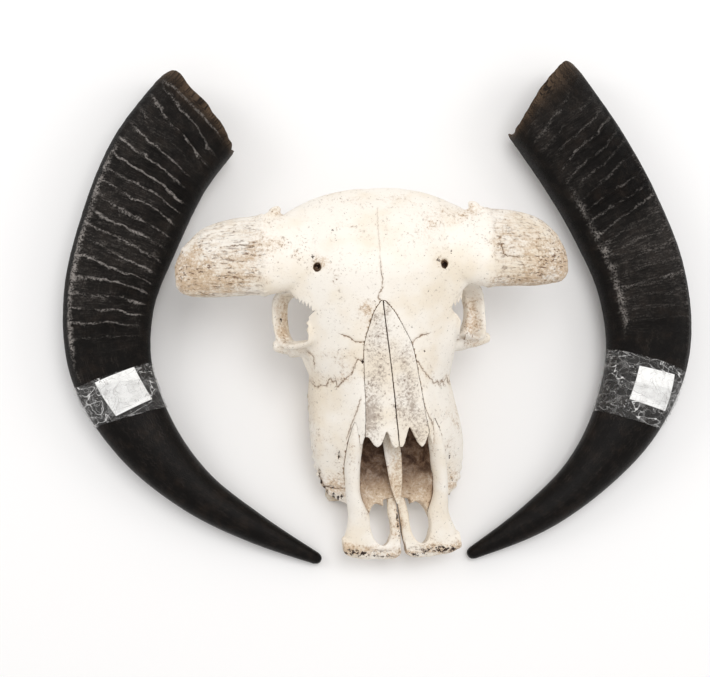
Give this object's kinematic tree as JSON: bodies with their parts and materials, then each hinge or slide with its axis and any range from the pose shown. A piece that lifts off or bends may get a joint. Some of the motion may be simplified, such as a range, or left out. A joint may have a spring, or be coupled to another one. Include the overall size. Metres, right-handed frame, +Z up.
{
  "type": "water buffalo skull",
  "caption": "Water buffalo cranium without its lower jaw, lying flat, with its two black horn sheaths taken off and laid beside it, tips towards the muzzle.",
  "frame": {"origin": "middle of the set's outline seen from above, at the level of the surface it lies on", "axes": "+Z up from the surface, +Y from the muzzle towards the neck, +X towards the animal's left, which is on the right of the picture; left and right in node names are those of the picture"},
  "size_m": [0.7976, 0.6464, 0.198],
  "materials": {
    "bone": "dry, bleached, slightly porous",
    "tooth": "worn enamel with brown tartar",
    "horn": "wrinkled at the base, polished at the tip",
    "paper": "plain white",
    "tape": "clear, glossy, wrinkled"
  },
  "bodies": {
    "root": {"cranium": "bone", "nasal_left": "bone", "nasal_right": "bone", "premaxilla_left": "bone", "premaxilla_right": "bone", "vomer": "bone", "premolar_2_left": "tooth", "premolar_3_left": "tooth", "premolar_4_left": "tooth", "molar_1_left": "tooth", "molar_2_left": "tooth", "molar_3_left": "tooth", "premolar_2_right": "tooth", "premolar_3_right": "tooth", "premolar_4_right": "tooth", "molar_1_right": "tooth", "molar_2_right": "tooth", "molar_3_right": "tooth", "horn_sheath_left": "horn", "horn_sheath_right": "horn", "label_left": "paper", "label_right": "paper", "tape_left": "tape", "tape_right": "tape"}
  },
  "joints": []
}
